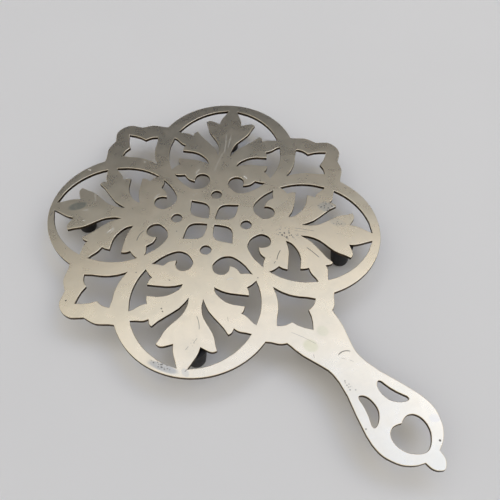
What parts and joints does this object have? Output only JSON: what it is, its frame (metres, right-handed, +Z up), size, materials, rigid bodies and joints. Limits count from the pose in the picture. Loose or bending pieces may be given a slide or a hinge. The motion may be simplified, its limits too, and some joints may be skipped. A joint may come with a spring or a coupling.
{
  "type": "trivet",
  "caption": "Flat pierced brass trivet of overlapping rings filled with acanthus leaves, with a long handle that ends in a heart-shaped hanging hole, on short dark rubber feet.",
  "frame": {"origin": "middle of the whole outline, seen from above, on the surface that the feet stand on", "axes": "+Z up, +X along the handle towards its tip, +Y to the left of the handle"},
  "size_m": [0.2808, 0.1976, 0.0182],
  "materials": {
    "brass": "satin, worn, with light tarnish",
    "foot_rubber": "matt black, slightly worn"
  },
  "bodies": {
    "root": {"plate": "brass", "foot_handle_left": "foot_rubber", "foot_handle_right": "foot_rubber", "foot_far_left": "foot_rubber", "foot_far_right": "foot_rubber"}
  },
  "joints": []
}
